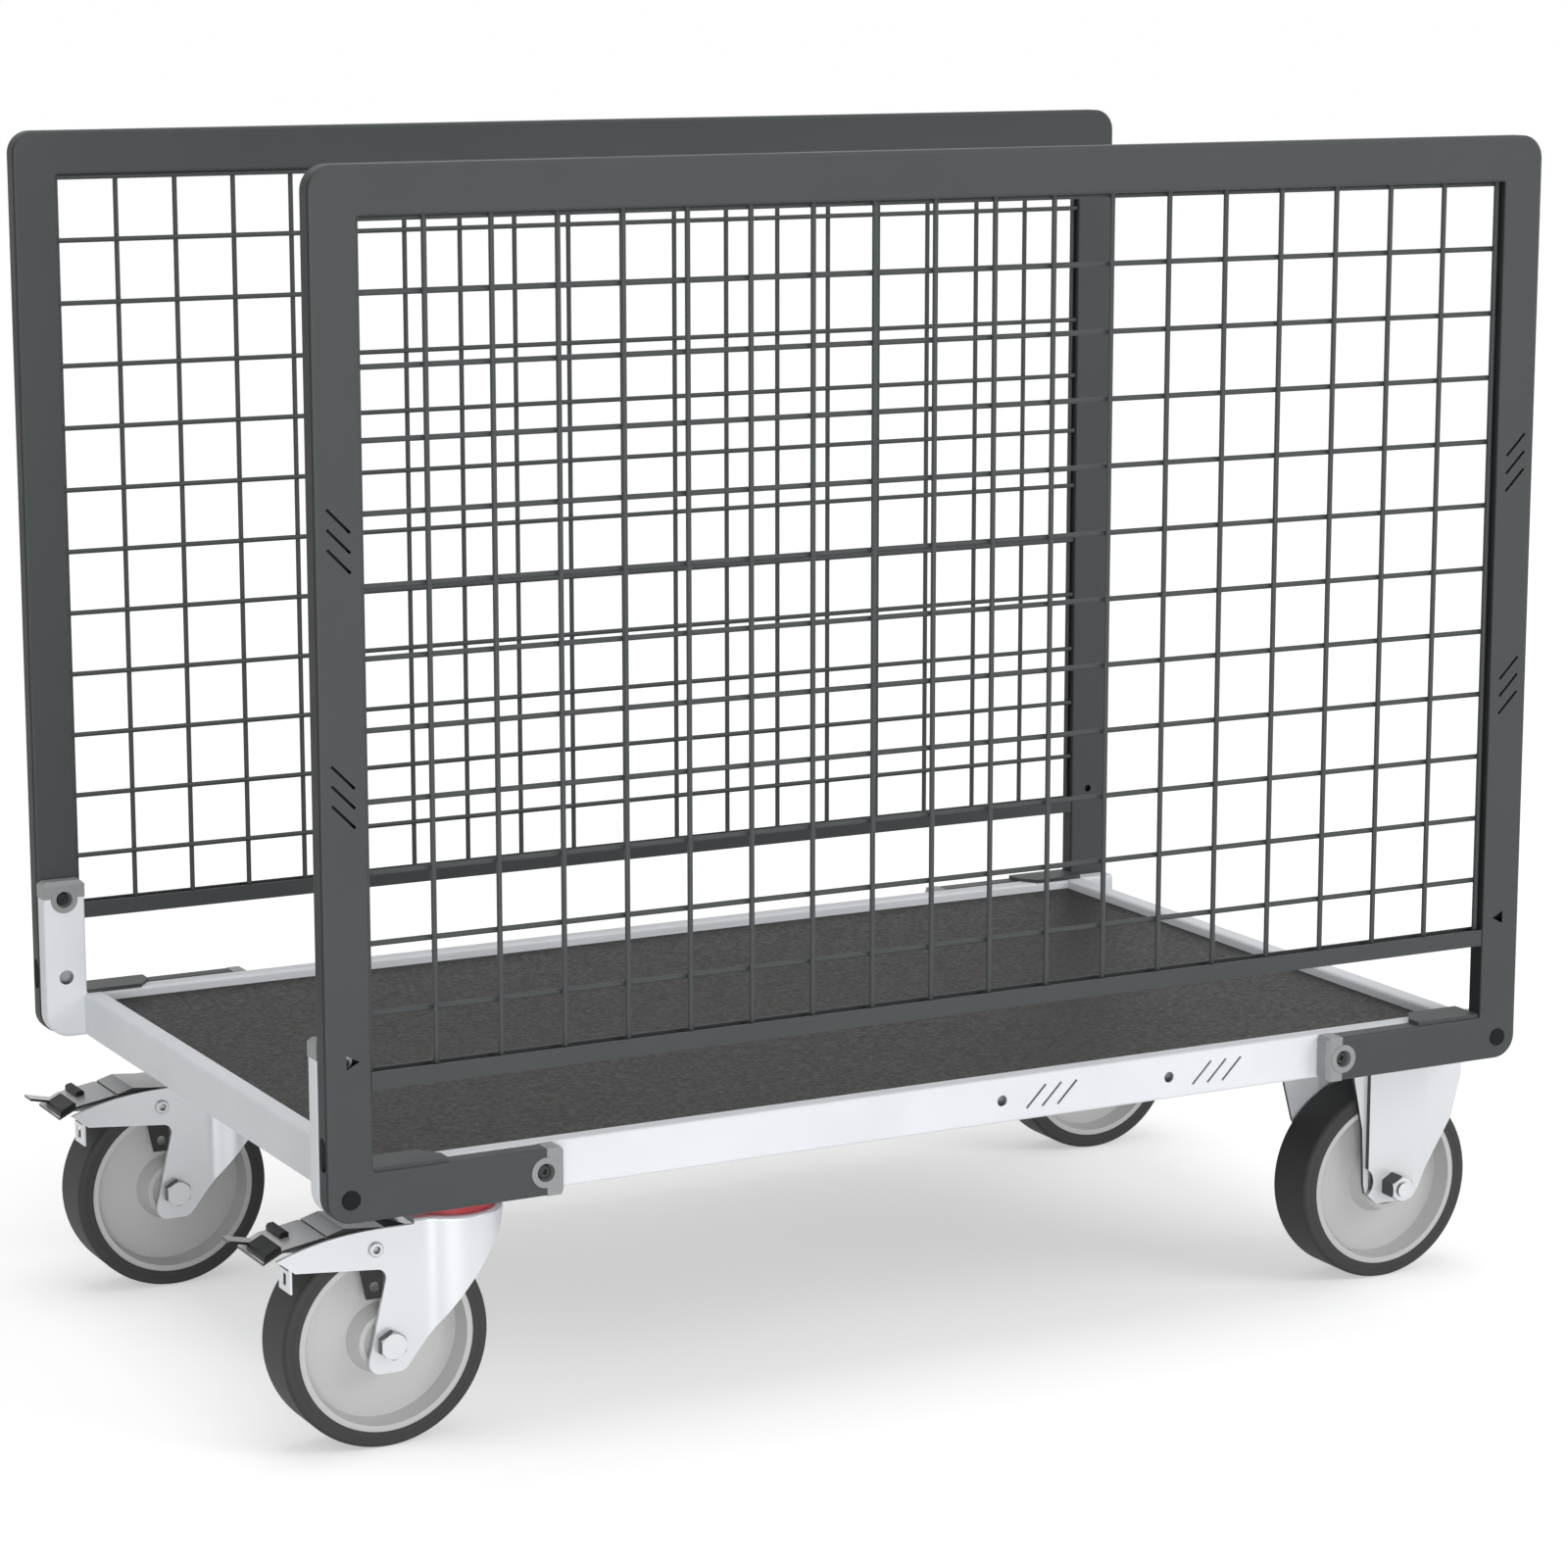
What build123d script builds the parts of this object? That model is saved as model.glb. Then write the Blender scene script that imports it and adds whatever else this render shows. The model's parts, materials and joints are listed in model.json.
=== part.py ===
from build123d import *
import os

# Mesh sided trolley, in millimetres.
# X runs along the length (swivel castors at the low end), Y across (front is low), Z up from the floor.

# Driving sizes of the mesh and of the tube that every frame is made of
mesh_pitch = 50.0
mesh_columns = 19
mesh_rows = 12
wire_diameter = 4.0
weld_gap = 0.05
cut_margin = 1.0
tube_face = 35.0
tube_depth = 16.5
tube_wall = 1.5
tube_edge_radius = 2.5
tube_inner_corner = 3.0
panel_corner_radius = 18.0
platform_corner_radius = 20.0

# Driving sizes of the platform and the panels on it
platform_half_width = 302.0
panel_lift = 61.0
lower_rail_height = 13.0
lower_rail_depth = 14.0
foot_length = 168.0
post_height = 81.0
deck_thickness = 12.0
deck_bolt_gap = 3.8
deck_clearance = 0.5
end_rail_inset = 32.0
beam_web = 3.0
beam_flange = 3.0
middle_beam_width = 60.0
ledge_width = 18.0
ledge_thickness = 2.0
lug_length = 58.0
lug_chamfer = 12.0
lug_thickness = 3.0
mark_side = 10.0
mark_set_in = 14.0

# Driving sizes of the end plugs and the fasteners of the panels
plug_overhang = 14.0
plug_insert = 25.0
plug_boss_radius = 11.2
plug_boss_rise = 0.5
plug_edge = 3.0
plug_clearance = 0.1
boss_set_in = 1.0
recess_radius = 6.8
recess_depth = 7.0
screw_radius = 3.0
screw_head_radius = 5.5
screw_head_height = 3.5
screw_socket_flats = 4.0
screw_socket_depth = 2.0
screw_tip = 2.5
nut_radius = 6.0
nut_height = 6.5
hole_clearance = 0.2
hole_plug_radius = 7.0
hole_plug_rise = 1.2
hole_plug_stem_radius = 5.0
hole_plug_stem = 5.0

# Driving sizes of the holes and slots in the tubes
rail_hole_radius = 4.3
rail_hole_positions = (43.0, 193.0)
rail_slot_positions = (87.0, 237.0)
slot_width = 2.0
slot_length = 24.0
slot_spacing = 13.8
stile_slot_heights = (498.5, 675.0)
end_slot_height = 25.0
end_slot_width = 12.0
end_slot_rise = 15.0
post_hole_radius = 6.0

# Driving sizes of the castors
wheel_radius = 80.0
wheel_headroom = 7.0
swivel_trail = 60.0
swivel_beam_gap = 12.8
fixed_axle_inset = 69.4
castor_side_inset = 80.0
plate_length = 140.0
plate_width = 110.0
plate_thickness = 4.0
plate_corner = 12.0
bolt_radius = 4.0
bolt_flats = 13.0
bolt_head_height = 5.3
bolt_nut_height = 6.5
bolt_tip = 2.0
swivel_bolt_x = 52.5
bolt_y = 40.0
beam_margin = 2.0

# Driving sizes of the wheels
tyre_half_width = 22.7
tyre_thickness = 14.0
tyre_shoulder = 4.0
tyre_side_gap = 1.0
rim_lip = 2.0
rim_lip_width = 2.5
rim_set_in = 0.7
rim_wall = 2.5
rim_slope = 2.5
rim_disc_depth = 16.0
hub_foot_radius = 27.0
hub_foot_rise = 3.5
hub_radius = 22.0
hub_edge = 4.0
hub_recess = 3.0
hub_end_gap = 3.0
bush_wall = 3.0
bush_end_gap = 0.3
axle_radius = 6.0
running_clearance = 0.05
axle_flats = 19.0
axle_head_height = 7.5
swivel_nut_length = 10.8
hexagon_bevel = 1.6
swivel_axle_tip = 4.0
fixed_nut_length = 16.0
fixed_axle_tip = 2.0

# Driving sizes of the swivel fork and its bearing
fork_wall = 3.0
fork_plate = 4.0
fork_drop = 24.0
fork_edge = 3.0
head_bulge = 10.5
head_blend = 20.0
cover_reach = 40.0
flange_radius = 30.0
flange_thickness = 4.5
neck_radius = 25.0
race_boss_radius = 25.0
race_boss_height = 6.0
race_height = 4.7
race_inner_radius = 16.0
race_outer_radius = 24.0
seal_gap = 1.0
seal_wall = 3.0
seal_top = 2.6
turn_gap = 0.3
king_pin_radius = 6.0
king_head_radius = 11.0
king_head_height = 6.0

# Driving sizes of the swivel fork's legs, from the axle, the swivel axis and the fork's top
leg_foot_drop = 21.7
leg_foot_front = 11.0
leg_foot_back = 19.0
leg_foot_round = 9.0
leg_knee_reach = 29.0
leg_knee_drop = 14.5
leg_knee_round = 12.0
leg_head_reach = 32.5
leg_window_x = 1.0
leg_window_drop = 16.0
leg_window_round = 7.0

# Driving sizes of the brake arms and their tabs, from the axle and the pedal's pivot
arm_end_gap = 9.0
arm_droop = 13.5
arm_low_reach = 72.3
arm_low_drop = 9.5
tab_reach = 76.3
tab_depth = 22.0
tab_top_drop = 8.0
tab_height = 16.4
tab_root_rise = 5.0
tab_wall = 1.5
tab_hole = 9.0
tab_hole_edge = 3.0

# Driving sizes of the fixed fork
fixed_panel_rise = 4.5
fixed_panel_front = 21.3
fixed_panel_back = 23.2
fixed_panel_slope = 15.0
fixed_leg_back = 36.0
fixed_shoulder = 8.0
fixed_knee_rise = 49.0
fixed_knee_front = 61.0
fixed_knee_back = 27.2
fixed_foot_drop = 14.0
fixed_foot_corner = 8.0
fixed_foot_front = 27.5
fixed_foot_back = 24.9
fixed_notch_radius = 14.2
fixed_notch_depth = 4.9
fixed_notch_rise = 5.0

# Driving sizes of the brake pedal, from the axle and down from the fork's top
pedal_pivot_x = 10.3
pedal_pivot_drop = 18.6
pedal_reach = 107.0
pedal_end = 95.0
pedal_end_drop = 18.0
pedal_bend = 80.0
pedal_bend_drop = 10.5
pedal_fold = 47.0
pedal_fold_drop = 5.0
pedal_crest = 33.0
pedal_crest_drop = 1.0
pedal_nose = 2.0
pedal_wall = 1.5
pedal_gap = 0.8
pedal_plate_thickness = 2.0
pedal_groove_width = 1.8
pedal_groove_depth = 1.0
tongue_root = 86.0
tongue_drop = 9.0
tongue_width = 15.0
tread_height = 4.5
end_tread_margin = 1.0
inner_tread_start = 66.0
inner_tread_length = 7.0
inner_tread_side = 2.0
cheek_reach = 60.0
cheek_drop = 38.0
cheek_half = 6.5
cheek_hole_radius = 3.6
cheek_hole_rise = 9.0
pin_radius = 4.0
pin_head_radius = 5.6
pin_head_height = 2.0
pin_hollow_radius = 3.0
pin_hollow_depth = 4.0

# Heights and positions that follow from the driving sizes
castor_height = 2 * wheel_radius + wheel_headroom + fork_plate + fork_drop
rail_low = castor_height
rail_top = rail_low + tube_face
rail_mid = rail_low + tube_face / 2
deck_low = rail_low + beam_web + bolt_nut_height + bolt_tip + deck_bolt_gap
deck_top = deck_low + deck_thickness
mesh_low = rail_top + panel_lift
mesh_top = mesh_low + mesh_rows * mesh_pitch
top_rail_low = mesh_top + wire_diameter / 2
panel_top = top_rail_low + tube_face
lower_rail_low = mesh_low - wire_diameter / 2
post_top = rail_top + post_height
half_mesh = mesh_columns * mesh_pitch / 2
stile_inner = half_mesh + wire_diameter / 2
half_length = stile_inner + tube_face
stile_mid = stile_inner + tube_face / 2
foot_tip = half_length - foot_length
side_outer = platform_half_width
side_inner = side_outer - tube_depth
side_mid = side_outer - tube_depth / 2
panel_outer = side_outer + tube_depth
panel_mid = side_outer + tube_depth / 2
end_rail_outer = half_length - end_rail_inset
end_rail_inner = end_rail_outer - tube_depth
end_rail_mid = end_rail_outer - tube_depth / 2
cross_wire_y = panel_mid - wire_diameter - weld_gap
mitre_reach = 1.5 * tube_face

axle_z = wheel_radius
castor_y = platform_half_width - castor_side_inset
swivel_axis_x = -(end_rail_inner - swivel_beam_gap - beam_margin - plate_length / 2)
swivel_axle_x = swivel_axis_x - swivel_trail
fixed_axle_x = half_length - fixed_axle_inset
fixed_bolt_x = end_rail_mid - fixed_axle_x
plate_low = castor_height - plate_thickness
fork_top = castor_height - fork_drop
pedal_inner = tyre_half_width + tyre_side_gap
pedal_outer = pedal_inner + pedal_wall
fork_gap = pedal_outer + pedal_gap
fork_outer = fork_gap + fork_wall
fixed_sheet_outer = pedal_inner + fork_wall
fixed_panel_outer = fixed_sheet_outer + fixed_panel_rise
fixed_panel_inner = fixed_panel_outer - fork_wall
head_radius = fork_outer + head_bulge
pedal_pivot_z = fork_top - pedal_pivot_drop
arm_reach = pedal_end - arm_end_gap
arm_top = fork_top - fork_plate + weld_gap

# The origin is under the middle of the whole length, pedal tip to wheel
origin_shift = -((swivel_axle_x - pedal_reach) + (fixed_axle_x + wheel_radius)) / 2


# Simple solids between limits
def box(x_low, x_high, y_low, y_high, z_low, z_high):
    block = Box(x_high - x_low, y_high - y_low, z_high - z_low, align=(Align.MIN, Align.MIN, Align.MIN))
    return Pos(x_low, y_low, z_low) * block


def upright(radius, z_low, z_high):
    return Pos(0, 0, z_low) * Cylinder(radius, z_high - z_low, align=(Align.CENTER, Align.CENTER, Align.MIN))


def across(radius, y_low, y_high):
    return Pos(0, (y_low + y_high) / 2, 0) * Rot(90, 0, 0) * Cylinder(radius, y_high - y_low)


def along(radius, x_low, x_high):
    return Pos((x_low + x_high) / 2, 0, 0) * Rot(0, 90, 0) * Cylinder(radius, x_high - x_low)


def hexagon(flats, z_low, z_high):
    outline = RegularPolygon(flats / 2, 6, major_radius=False, rotation=30)
    return Pos(0, 0, z_low) * extrude(outline, z_high - z_low)


def bevelled_hexagon(flats, z_low, z_high):
    round_bar = upright(flats / 2 + hexagon_bevel, z_low, z_high)
    round_bar = chamfer(round_bar.edges().sort_by(Axis.Z)[-1], hexagon_bevel)
    return hexagon(flats, z_low, z_high) & round_bar


def side_plate(points, y_low, y_high):
    corners = [(x, y_low, z) for x, z in points]
    outline = make_face(Polyline(*corners, close=True))
    return extrude(outline, y_high - y_low, dir=(0, 1, 0))


def top_plate(points, z_low, z_high):
    corners = [(x, y, z_low) for x, y in points]
    outline = make_face(Polyline(*corners, close=True))
    return extrude(outline, z_high - z_low, dir=(0, 0, 1))


def spun(points):
    outline = make_face(Polyline(*[(radius, y, 0) for radius, y in points], close=True))
    return Pos(0, 0, axle_z) * revolve(outline, Axis.Y)


def ring_of(radius_low, radius_high, z_low, z_high):
    return upright(radius_high, z_low, z_high) - upright(radius_low, z_low, z_high)


def turned(piece):
    return Rot(0, 0, 180) * piece


def mirrored(piece):
    return mirror(piece, about=Plane.XZ)


# One closed loop of tube standing in a plane along X, to be cut into its lengths
def tube_loop(z_low, z_high, corner_radius, y_low):
    height = z_high - z_low
    middle = Plane(origin=(0, y_low, (z_low + z_high) / 2), x_dir=(1, 0, 0), z_dir=(0, -1, 0))
    outer = RectangleRounded(2 * half_length, height, corner_radius)
    inner = RectangleRounded(2 * stile_inner, height - 2 * tube_face, tube_inner_corner)
    loop = extrude(middle * (outer - inner), -tube_depth)
    loop = fillet(loop.faces().filter_by(Axis.Y).edges(), tube_edge_radius)
    hollow_outer = RectangleRounded(
        2 * (half_length - tube_wall), height - 2 * tube_wall, corner_radius - tube_wall
    )
    hollow_inner = RectangleRounded(
        2 * (stile_inner + tube_wall), height - 2 * (tube_face - tube_wall), tube_inner_corner + tube_wall
    )
    hollow = extrude(middle * (hollow_outer - hollow_inner), -(tube_depth - 2 * tube_wall))
    return loop - Pos(0, tube_wall, 0) * hollow


# The wedge that a length of the loop is cut to at its mitres
def mitre_wedge(x_sign, z_low, z_high, y_low, y_high):
    points = [
        (x_sign * stile_inner, z_low + tube_face),
        (x_sign * stile_inner, z_high - tube_face),
        (x_sign * (stile_inner + mitre_reach), z_high - tube_face + mitre_reach),
        (x_sign * (stile_inner + mitre_reach), z_low + tube_face - mitre_reach),
    ]
    return side_plate(points, y_low, y_high)


def level_wedge(z_inner, z_step, y_low, y_high):
    points = [
        (-stile_inner, z_inner),
        (stile_inner, z_inner),
        (stile_inner + mitre_reach, z_inner + z_step * mitre_reach),
        (-stile_inner - mitre_reach, z_inner + z_step * mitre_reach),
    ]
    return side_plate(points, y_low, y_high)


# Three slanted slots through one wall, in a row along X or up Z
def slot_group(x, z, x_step, z_step, lean, y_low, y_high):
    bar = box(-slot_width / 2, slot_width / 2, y_low, y_high, -slot_length / 2, slot_length / 2)
    slanted = Rot(0, lean, 0) * bar
    return [Pos(x + place * x_step, 0, z + place * z_step) * slanted for place in (-1, 0, 1)]


# Triangle that points to the middle of a panel
def panel_mark(side, y_low, y_high):
    half = mark_side / 2
    return side_plate([(side * half, half), (side * half, -half), (-side * half, 0)], y_low, y_high)


# Upright slot with round ends, through the end face of a stile
def end_slot(x):
    radius = end_slot_width / 2
    straight = end_slot_height / 2 - radius
    wall = (x - 2 * tube_wall, x + 2 * tube_wall)
    slot = box(*wall, -radius, radius, -straight, straight)
    for end in (-straight, straight):
        slot += Pos(0, 0, end) * along(radius, *wall)
    return Pos(0, -panel_mid, rail_top + end_slot_rise) * slot


# Front panel frame, cut into its tubes
def panel_frame():
    loop = tube_loop(rail_low, panel_top, panel_corner_radius, -panel_outer)
    front = -panel_outer - cut_margin
    behind_wall = -panel_outer + 2 * tube_wall
    for side in (-1, 1):
        x = side * stile_mid
        loop -= Pos(x, 0, rail_mid) * across(hole_plug_stem_radius + hole_clearance, front, behind_wall)
        loop -= Pos(x, 0, post_top - boss_set_in) * across(
            screw_radius + hole_clearance, -side_outer - 2 * tube_wall, -side_outer + cut_margin
        )
        for height in stile_slot_heights:
            for slot in slot_group(x, height, 0, slot_spacing, side * 45, front, behind_wall):
                loop -= slot
        loop -= Pos(side * (stile_inner + mark_set_in), 0, post_top) * panel_mark(side, front, behind_wall)
        loop -= end_slot(side * half_length)
    limits = (-panel_outer - cut_margin, -side_outer + cut_margin)
    top_rail = loop & level_wedge(top_rail_low, 1, *limits)
    low_run = loop & level_wedge(rail_top, -1, *limits)
    left_stile = loop & mitre_wedge(-1, rail_low, panel_top, *limits)
    right_stile = loop & mitre_wedge(1, rail_low, panel_top, *limits)
    gap = box(-foot_tip, foot_tip, *limits, rail_low - cut_margin, rail_top + cut_margin)
    feet = low_run - gap
    for side in (-1, 1):
        boss_x = side * (foot_tip + boss_set_in)
        feet -= Pos(boss_x, 0, rail_mid) * across(plug_boss_radius + plug_clearance, *limits)
    return top_rail, left_stile, right_stile, feet


# Open channel that takes the lower ends of the upright wires
def lower_rail():
    y_low = -panel_mid - lower_rail_depth / 2
    y_high = -panel_mid + lower_rail_depth / 2
    z_high = lower_rail_low + lower_rail_height
    channel = box(-stile_inner, stile_inner, y_low, y_high, lower_rail_low, z_high)
    return channel - box(
        -stile_inner, stile_inner, y_low + tube_wall, y_high - tube_wall, lower_rail_low + tube_wall, z_high
    )


def upright_wires():
    rod = upright(wire_diameter / 2, lower_rail_low + tube_wall, top_rail_low)
    return [
        Pos(-half_mesh + column * mesh_pitch, -panel_mid, 0) * rod for column in range(mesh_columns + 1)
    ]


def cross_wires():
    rod = along(wire_diameter / 2, -stile_inner, stile_inner)
    return [
        Pos(0, -cross_wire_y, mesh_low + row * mesh_pitch) * rod for row in range(1, mesh_rows + 1)
    ]


# Lugs on the feet of a panel that rest on the platform's side rail
def panel_lugs():
    y_low = -panel_outer + tube_edge_radius
    y_high = -side_inner
    lugs = []
    for side in (-1, 1):
        points = [
            (side * stile_inner, y_low),
            (side * (stile_inner - lug_length), y_low),
            (side * (stile_inner - lug_length), -side_outer),
            (side * (stile_inner - lug_length + lug_chamfer), y_high),
            (side * stile_inner, y_high),
        ]
        lugs.append(top_plate(points, rail_top, rail_top + lug_thickness))
    return lugs


# Plug in the open end of a tube that runs from x = 0 towards high x, with its screw and nut.
# The face with the boss looks to low y.
def tube_plug():
    face = -tube_depth / 2
    head = box(-plug_overhang, 0, face, -face, -tube_face / 2, tube_face / 2)
    head = chamfer(head.faces().sort_by(Axis.X)[0].edges(), plug_edge)
    half_height = tube_face / 2 - tube_wall - plug_clearance
    half_depth = tube_depth / 2 - tube_wall - plug_clearance
    insert = box(0, plug_insert, -half_depth, half_depth, -half_height, half_height)
    boss = Pos(boss_set_in, 0, 0) * across(plug_boss_radius, face - plug_boss_rise, -face)
    recess = Pos(boss_set_in, 0, 0) * across(
        recess_radius, face - plug_boss_rise, face - plug_boss_rise + recess_depth
    )
    bore = Pos(boss_set_in, 0, 0) * across(screw_radius + hole_clearance, face, -face)
    return head + insert + boss - recess - bore


def plug_screw():
    seat = -tube_depth / 2 - plug_boss_rise + recess_depth
    head = across(screw_head_radius, seat - screw_head_height, seat)
    head = chamfer(head.edges().sort_by(Axis.Y)[0], screw_head_height / 3)
    top = screw_head_height - seat
    socket = Rot(90, 0, 0) * hexagon(screw_socket_flats, top - screw_socket_depth, top)
    shank = across(screw_radius, seat, tube_depth / 2 + tube_wall + nut_height + screw_tip)
    return Pos(boss_set_in, 0, 0) * (head - socket + shank)


def plug_nut():
    seat = tube_depth / 2 + tube_wall
    sleeve = across(nut_radius, seat, seat + nut_height)
    bore = across(screw_radius + weld_gap, seat, seat + nut_height)
    return Pos(boss_set_in, 0, 0) * (sleeve - bore)


def foot_places():
    right = Pos(foot_tip, -panel_mid, rail_mid)
    left = Pos(-foot_tip, -panel_mid, rail_mid) * Rot(0, 180, 0)
    return [left, right]


def post_place():
    upward = Rot(0, -90, 0) * Rot(0, 0, 180)
    return Pos(-stile_mid, -side_mid, post_top) * upward


# Cap in the hole at each lower corner of a panel
def hole_plugs():
    cap = across(hole_plug_radius, -panel_outer - hole_plug_rise, -panel_outer)
    cap = chamfer(cap.edges().sort_by(Axis.Y)[0], hole_plug_rise / 2)
    stem = across(hole_plug_stem_radius, -panel_outer, -panel_outer + hole_plug_stem)
    return [Pos(side * stile_mid, 0, rail_mid) * (cap + stem) for side in (-1, 1)]


# Straight closed end of the front side rail, where no post stands
def rail_end(x_low):
    outside = box(x_low, half_length, -side_outer, -side_inner, rail_low, rail_top)
    outside = fillet(outside.edges().filter_by(Axis.X), tube_edge_radius)
    return outside - box(
        x_low,
        half_length - tube_wall,
        -side_outer + tube_wall,
        -side_inner - tube_wall,
        rail_low + tube_wall,
        rail_top - tube_wall,
    )


# Front side rail of the platform and the corner post that its left end turns up into
def side_frame():
    far_above = post_top + 4 * tube_face
    loop = tube_loop(rail_low, far_above, platform_corner_radius, -side_outer)
    outside = (-side_outer - cut_margin, -side_outer + 2 * tube_wall)
    inside = (-side_inner - 2 * tube_wall, -side_inner + cut_margin)
    for side in (-1, 1):
        loop -= Pos(side * (foot_tip + boss_set_in), 0, rail_mid) * across(
            screw_radius + hole_clearance, *outside
        )
    loop -= Pos(-stile_mid, 0, rail_top + end_slot_rise) * across(post_hole_radius, *inside)
    for x in rail_hole_positions:
        loop -= Pos(x, 0, rail_mid) * across(rail_hole_radius, *outside)
    for x in rail_slot_positions:
        for slot in slot_group(x, rail_mid, slot_spacing, 0, 45, *outside):
            loop -= slot
    limits = (-side_outer - cut_margin, -side_inner + cut_margin)
    rail = loop & level_wedge(rail_top, -1, *limits)
    end_start = stile_inner - tube_inner_corner - tube_wall
    rail -= box(end_start, 2 * half_length, *limits, rail_low - cut_margin, rail_top + cut_margin)
    rail += rail_end(end_start)
    post = loop & mitre_wedge(-1, rail_low, far_above, *limits)
    post -= box(-2 * half_length, 2 * half_length, *limits, post_top, far_above + cut_margin)
    post -= Pos(-stile_mid, 0, post_top - boss_set_in) * across(plug_boss_radius + plug_clearance, *limits)
    return rail, post


def end_rail():
    outside = box(end_rail_inner, end_rail_outer, -side_inner, side_inner, rail_low, rail_top)
    outside = fillet(outside.edges().filter_by(Axis.Y), tube_edge_radius)
    rail = outside - box(
        end_rail_inner + tube_wall,
        end_rail_outer - tube_wall,
        -side_inner,
        side_inner,
        rail_low + tube_wall,
        rail_top - tube_wall,
    )
    return rail


def deck_board():
    length = end_rail_inner - deck_clearance
    width = side_inner - deck_clearance
    return box(-length, length, -width, width, deck_low, deck_top)


# Channels under the deck that the castors are bolted to
def cross_beam(x_low, x_high):
    outside = box(x_low, x_high, -side_inner, side_inner, rail_low, deck_low)
    hollow = box(
        x_low + beam_flange, x_high - beam_flange, -side_inner, side_inner, rail_low + beam_web, deck_low
    )
    return outside - hollow


swivel_beam_span = (
    swivel_axis_x - plate_length / 2 - beam_margin,
    swivel_axis_x + plate_length / 2 + beam_margin,
)
middle_beam_span = (-middle_beam_width / 2, middle_beam_width / 2)
fixed_beam_span = (fixed_axle_x - plate_length / 2 - beam_margin, end_rail_inner)


def deck_ledges():
    ledges = []
    for start, end in (
        (swivel_beam_span[1], middle_beam_span[0]),
        (middle_beam_span[1], fixed_beam_span[0]),
    ):
        flat = box(start, end, -side_inner, -side_inner + ledge_width, deck_low - ledge_thickness, deck_low)
        wall = box(start, end, -side_inner, -side_inner + ledge_thickness, rail_low, deck_low)
        ledges.append(flat + wall)
    return ledges + [mirror(ledge, about=Plane.XZ) for ledge in ledges]


# Where the castor plates are bolted: position, and thickness of what lies on the plate
def bolt_places():
    places = []
    for y_side in (-1, 1):
        for step in (-bolt_y, bolt_y):
            y = y_side * castor_y + step
            places.append((swivel_axis_x - swivel_bolt_x, y, beam_web))
            places.append((swivel_axis_x + swivel_bolt_x, y, beam_web))
            places.append((fixed_axle_x - fixed_bolt_x, y, beam_web))
            places.append((fixed_axle_x + fixed_bolt_x, y, tube_wall))
    return places


def bolt_holes(z_low, z_high):
    return [Pos(x, y, 0) * upright(bolt_radius + hole_clearance, z_low, z_high) for x, y, _ in bolt_places()]


def castor_bolts():
    bolts = []
    for x, y, sheet in bolt_places():
        top = castor_height + sheet + bolt_nut_height + bolt_tip
        head = hexagon(bolt_flats, plate_low - bolt_head_height, plate_low)
        bolts.append(Pos(x, y, 0) * (head + upright(bolt_radius, plate_low, top)))
    return bolts


def castor_nuts():
    nuts = []
    for x, y, sheet in bolt_places():
        low = castor_height + sheet
        nut = hexagon(bolt_flats, low, low + bolt_nut_height)
        nuts.append(Pos(x, y, 0) * (nut - upright(bolt_radius + weld_gap, low, low + bolt_nut_height)))
    return nuts


# Wheel pieces about an axle along Y
bush_radius = axle_radius + running_clearance + bush_wall
tread_seat = wheel_radius - tyre_thickness
lip_radius = tread_seat + rim_lip
lip_half = tyre_half_width - rim_set_in
rim_half_width = lip_half - rim_lip_width
lip_inner_radius = tread_seat - rim_wall
rim_disc_radius = lip_inner_radius - rim_slope
rim_disc_half = lip_half - rim_disc_depth
hub_half = fork_gap - hub_end_gap
hub_recess_radius = hub_radius - hub_edge


def tyre():
    body = spun([
        (tread_seat, -rim_half_width),
        (lip_radius, -rim_half_width),
        (lip_radius, -tyre_half_width),
        (wheel_radius, -tyre_half_width),
        (wheel_radius, tyre_half_width),
        (lip_radius, tyre_half_width),
        (lip_radius, rim_half_width),
        (tread_seat, rim_half_width),
    ])
    return fillet(body.edges().filter_by(GeomType.CIRCLE).group_by(SortBy.RADIUS)[-1], tyre_shoulder)


def rim():
    half = [
        (bush_radius, hub_half - hub_recess),
        (hub_recess_radius, hub_half - hub_recess),
        (hub_recess_radius, hub_half),
        (hub_radius, hub_half),
        (hub_foot_radius, rim_disc_half + hub_foot_rise),
        (rim_disc_radius, rim_disc_half),
        (lip_inner_radius, lip_half),
        (lip_radius, lip_half),
        (lip_radius, rim_half_width),
        (tread_seat, rim_half_width),
    ]
    return spun(half + [(radius, -y) for radius, y in reversed(half)])


# Bush that just fits between the legs, which stand leg_gap from the wheel's middle
def bush(leg_gap):
    half = leg_gap - bush_end_gap
    inner = axle_radius + running_clearance
    return spun([(inner, -half), (bush_radius, -half), (bush_radius, half), (inner, half)])


# Axle bolt with its head to the front, and its nut, on legs whose outer faces are at seat
def axle_set(seat, nut_length, tip):
    nut_end = seat + nut_length
    shank = across(axle_radius, -seat, nut_end + tip)
    head = Rot(90, 0, 0) * bevelled_hexagon(axle_flats, seat, seat + axle_head_height)
    nut = Rot(-90, 0, 0) * bevelled_hexagon(axle_flats, seat, nut_end)
    nut -= across(axle_radius + weld_gap, seat, nut_end)
    place = Pos(0, 0, axle_z)
    return [place * (shank + head), place * nut]


def axle_bores(seat):
    reach = seat + cut_margin
    return Pos(0, 0, axle_z) * across(axle_radius + hole_clearance, -reach, reach)


# Swivel castor, drawn with its axle over x = 0
def swivel_plate():
    plate = Pos(0, 0, plate_low) * extrude(
        RectangleRounded(plate_length, plate_width, plate_corner), plate_thickness
    )
    boss = upright(race_boss_radius, plate_low - race_boss_height, plate_low)
    head_top = fork_top - fork_plate - turn_gap
    pin = upright(king_pin_radius, head_top - king_head_height, plate_low)
    head = upright(king_head_radius, head_top - king_head_height, head_top)
    return plate + boss + pin + head


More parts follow.
